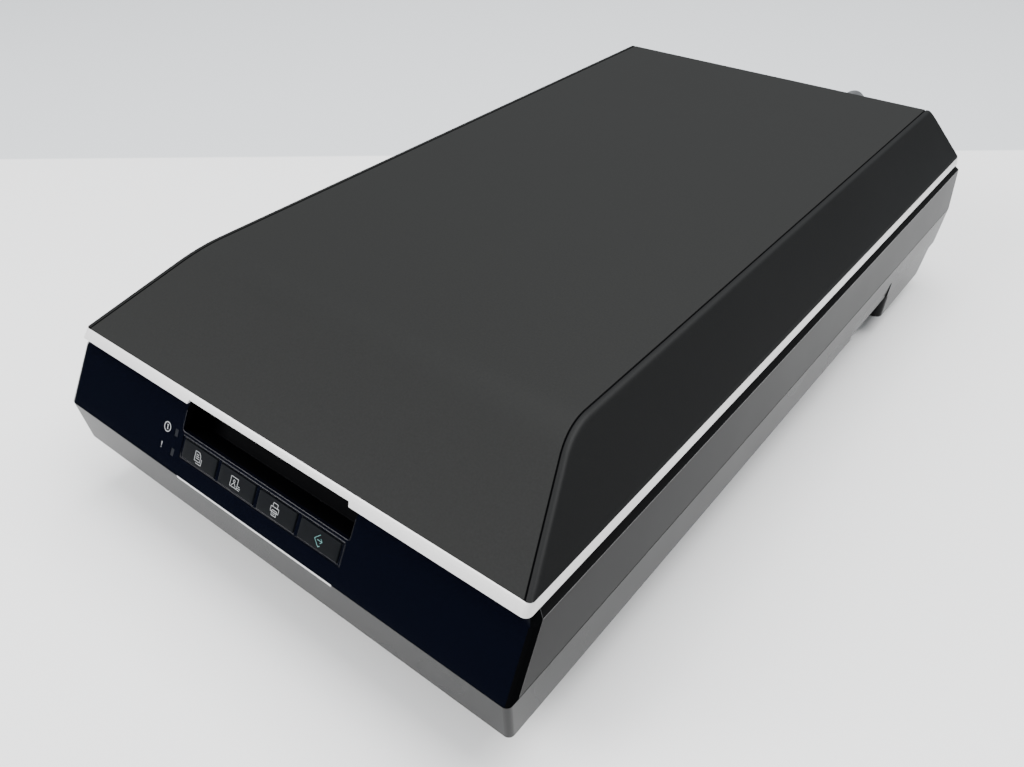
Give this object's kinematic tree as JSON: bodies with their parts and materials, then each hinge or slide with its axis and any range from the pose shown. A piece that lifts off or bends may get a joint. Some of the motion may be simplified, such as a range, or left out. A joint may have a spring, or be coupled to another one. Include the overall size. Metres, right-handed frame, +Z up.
{
  "type": "film negative scanner",
  "caption": "Flatbed scanner for film negatives and documents, with a hinged lid that holds a moving film lamp, a belt-driven scan carriage and a sloping front panel of buttons.",
  "frame": {"origin": "on the desk, under the middle of the base", "axes": "+X to the right, +Y to the hinged rear edge, +Z up"},
  "size_m": [0.28, 0.542, 0.118],
  "materials": {
    "gloss_black": "polished",
    "rubber": "matte",
    "button_grey": "fine matte",
    "light_window": "translucent",
    "silver_trim": "satin",
    "lid_dark": "fine texture",
    "band_silver": "metallic paint, fine sparkle",
    "inner_plastic": "matte",
    "circuit_board": "solder mask",
    "glass": "clear",
    "film_window": "frosted",
    "white_plastic": "matte",
    "steel": "ground",
    "brass": "turned",
    "nylon": "moulded",
    "mirror": "first surface",
    "lens": "lens barrel",
    "belt_rubber": "toothed belt",
    "socket_black": "moulded",
    "cable_grey": "cable jacket"
  },
  "bodies": {
    "base": {"lower_housing": "gloss_black", "rubber_feet": "rubber", "housing_screws": "steel", "upper_housing": "gloss_black", "front_panel": "gloss_black", "recess_liner": "gloss_black", "button_bezel": "gloss_black", "status_lights": "light_window", "trim_strip": "silver_trim", "control_board": "circuit_board", "power_switch": "inner_plastic", "document_glass": "glass", "calibration_strip": "white_plastic", "guide_rod": "steel", "rod_holders": "inner_plastic", "carriage_ribbon": "white_plastic", "drive_belt": "belt_rubber", "drive_axles": "steel", "scan_motor": "steel", "motor_bracket": "steel", "main_board": "circuit_board", "usb_port": "steel", "power_inlet": "socket_black", "option_port": "socket_black", "cable_upper": "cable_grey", "cable_lower": "cable_grey", "cable_plug": "cable_grey"},
    "file_button": {"file_button": "button_grey"},
    "photo_button": {"photo_button": "button_grey"},
    "copy_button": {"copy_button": "button_grey"},
    "start_button": {"start_button": "button_grey"},
    "power_button": {"power_button": "button_grey"},
    "scan_carriage": {"scan_carriage": "inner_plastic", "carriage_bushings": "brass", "scan_lamp": "white_plastic", "carriage_mirrors": "mirror", "carriage_lens": "lens", "sensor_board": "circuit_board"},
    "drive_gear": {"drive_gear": "nylon"},
    "idler_pulley": {"idler_pulley": "nylon"},
    "motor_pinion": {"motor_pinion": "brass"},
    "transport_lock": {"transport_lock": "inner_plastic"},
    "hinge_posts": {"hinge_posts": "inner_plastic", "hinge_pins": "steel"},
    "lid": {"lid_under_cover": "inner_plastic", "lid_band": "band_silver", "lid_top_cover": "lid_dark", "lid_side_cover_left": "lid_dark", "lid_side_cover_right": "lid_dark", "film_window": "film_window", "lamp_rods": "steel", "lamp_belt": "belt_rubber", "lamp_motor": "steel", "hinge_brackets": "inner_plastic", "cable_boot": "cable_grey"},
    "lamp_carriage": {"lamp_carriage": "white_plastic", "film_lamp": "white_plastic"},
    "lamp_pulley": {"lamp_pulley": "nylon"},
    "lamp_idler": {"lamp_idler": "nylon"},
    "document_mat": {"document_mat": "white_plastic"}
  },
  "joints": [
    {"name": "carriage_slide", "type": "slide", "parent": "base", "child": "scan_carriage", "axis": [0, -1, 0], "range_m": [0, 0.31], "deforming": ["carriage_ribbon"]},
    {"name": "drive_gear_spin", "type": "hinge", "parent": "base", "child": "drive_gear", "pos_m": [-0.04, 0.172, 0.0116], "axis": [0, 0, 1], "range_deg": [0, 2791]},
    {"name": "idler_spin", "type": "hinge", "parent": "base", "child": "idler_pulley", "pos_m": [-0.04, -0.194, 0.02], "axis": [0, 0, 1], "range_deg": [0, 2791]},
    {"name": "motor_spin", "type": "hinge", "parent": "base", "child": "motor_pinion", "pos_m": [-0.01192, 0.172, 0.0116], "axis": [0, 0, 1], "range_deg": [-11161, 0]},
    {"name": "lock_slide", "type": "slide", "parent": "base", "child": "transport_lock", "axis": [0, 0, 1], "range_m": [0, 0.007]},
    {"name": "power_press", "type": "slide", "parent": "base", "child": "power_button", "axis": [1, 0, 0], "range_m": [0, 0.0015], "stiffness_N_per_m": 400},
    {"name": "file_button_press", "type": "slide", "parent": "base", "child": "file_button", "axis": [0, 0.8704, -0.4924], "range_m": [0, 0.0008], "stiffness_N_per_m": 400},
    {"name": "photo_button_press", "type": "slide", "parent": "base", "child": "photo_button", "axis": [0, 0.8704, -0.4924], "range_m": [0, 0.0008], "stiffness_N_per_m": 400},
    {"name": "copy_button_press", "type": "slide", "parent": "base", "child": "copy_button", "axis": [0, 0.8704, -0.4924], "range_m": [0, 0.0008], "stiffness_N_per_m": 400},
    {"name": "start_button_press", "type": "slide", "parent": "base", "child": "start_button", "axis": [0, 0.8704, -0.4924], "range_m": [0, 0.0008], "stiffness_N_per_m": 400},
    {"name": "post_slide", "type": "slide", "parent": "base", "child": "hinge_posts", "axis": [0, 0, 1], "range_m": [0, 0.02], "deforming": ["cable_lower"]},
    {"name": "lid_hinge", "type": "hinge", "parent": "hinge_posts", "child": "lid", "pos_m": [0, 0.232, 0.101], "axis": [-1, 0, 0], "range_deg": [0, 75], "deforming": ["cable_upper"]},
    {"name": "lamp_slide", "type": "slide", "parent": "lid", "child": "lamp_carriage", "axis": [0, -1, 0], "range_m": [0, 0.245]},
    {"name": "lamp_pulley_spin", "type": "hinge", "parent": "lid", "child": "lamp_pulley", "pos_m": [0.044, 0.15, 0.095], "axis": [0, 0, 1], "range_deg": [0, 2757.25]},
    {"name": "lamp_idler_spin", "type": "hinge", "parent": "lid", "child": "lamp_idler", "pos_m": [0.044, -0.18, 0.095], "axis": [0, 0, 1], "range_deg": [0, 2757.25]},
    {"name": "mat_slide", "type": "slide", "parent": "lid", "child": "document_mat", "axis": [0, -1, 0], "range_m": [0, 0.012]}
  ],
  "couplings": [
    {"joint": "drive_gear_spin", "follows": "carriage_slide", "rad_per_m": 157.08},
    {"joint": "idler_spin", "follows": "carriage_slide", "rad_per_m": 157.08},
    {"joint": "motor_spin", "follows": "carriage_slide", "rad_per_m": -628.32},
    {"joint": "lamp_pulley_spin", "follows": "lamp_slide", "rad_per_m": 196.35},
    {"joint": "lamp_idler_spin", "follows": "lamp_slide", "rad_per_m": 196.35}
  ]
}
